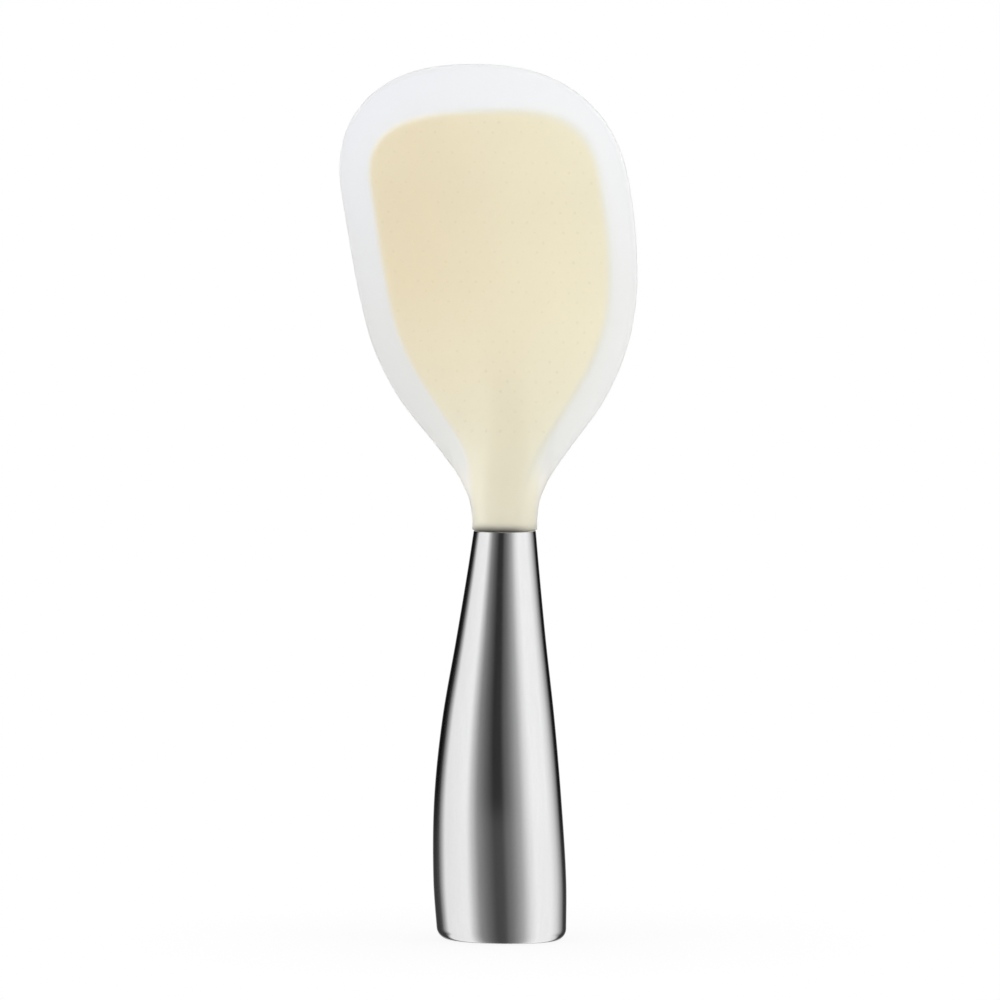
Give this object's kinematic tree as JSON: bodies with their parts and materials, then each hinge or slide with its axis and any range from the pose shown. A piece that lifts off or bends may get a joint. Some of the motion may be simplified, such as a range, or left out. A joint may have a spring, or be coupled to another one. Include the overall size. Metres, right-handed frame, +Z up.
{
  "type": "rice paddle",
  "caption": "Broad, shallow silicone rice paddle over a cream inner plate, on a hollow satin steel handle that stands on its flat oval foot.",
  "frame": {"origin": "middle of the flat oval foot of the handle, at the surface that the paddle stands on", "axes": "+Z up the handle to the blade's tip, -Y the side of the blade's hollow face, towards which the tip leans, X across the blade"},
  "size_m": [0.0768, 0.0352, 0.22],
  "materials": {
    "clear_silicone": "milky translucent silicone, satin",
    "cream_plastic": "matt moulded",
    "plug_plastic": "matt moulded",
    "plain_steel": "plain machined",
    "satin_steel": "fine satin, ground lengthwise"
  },
  "bodies": {
    "root": {"blade_skin": "clear_silicone", "blade_core": "cream_plastic", "tang": "plain_steel", "throat_plug": "plug_plastic", "tang_washer": "plain_steel", "tang_nut": "plain_steel", "handle_shell": "satin_steel", "base_cap": "satin_steel"}
  },
  "joints": []
}
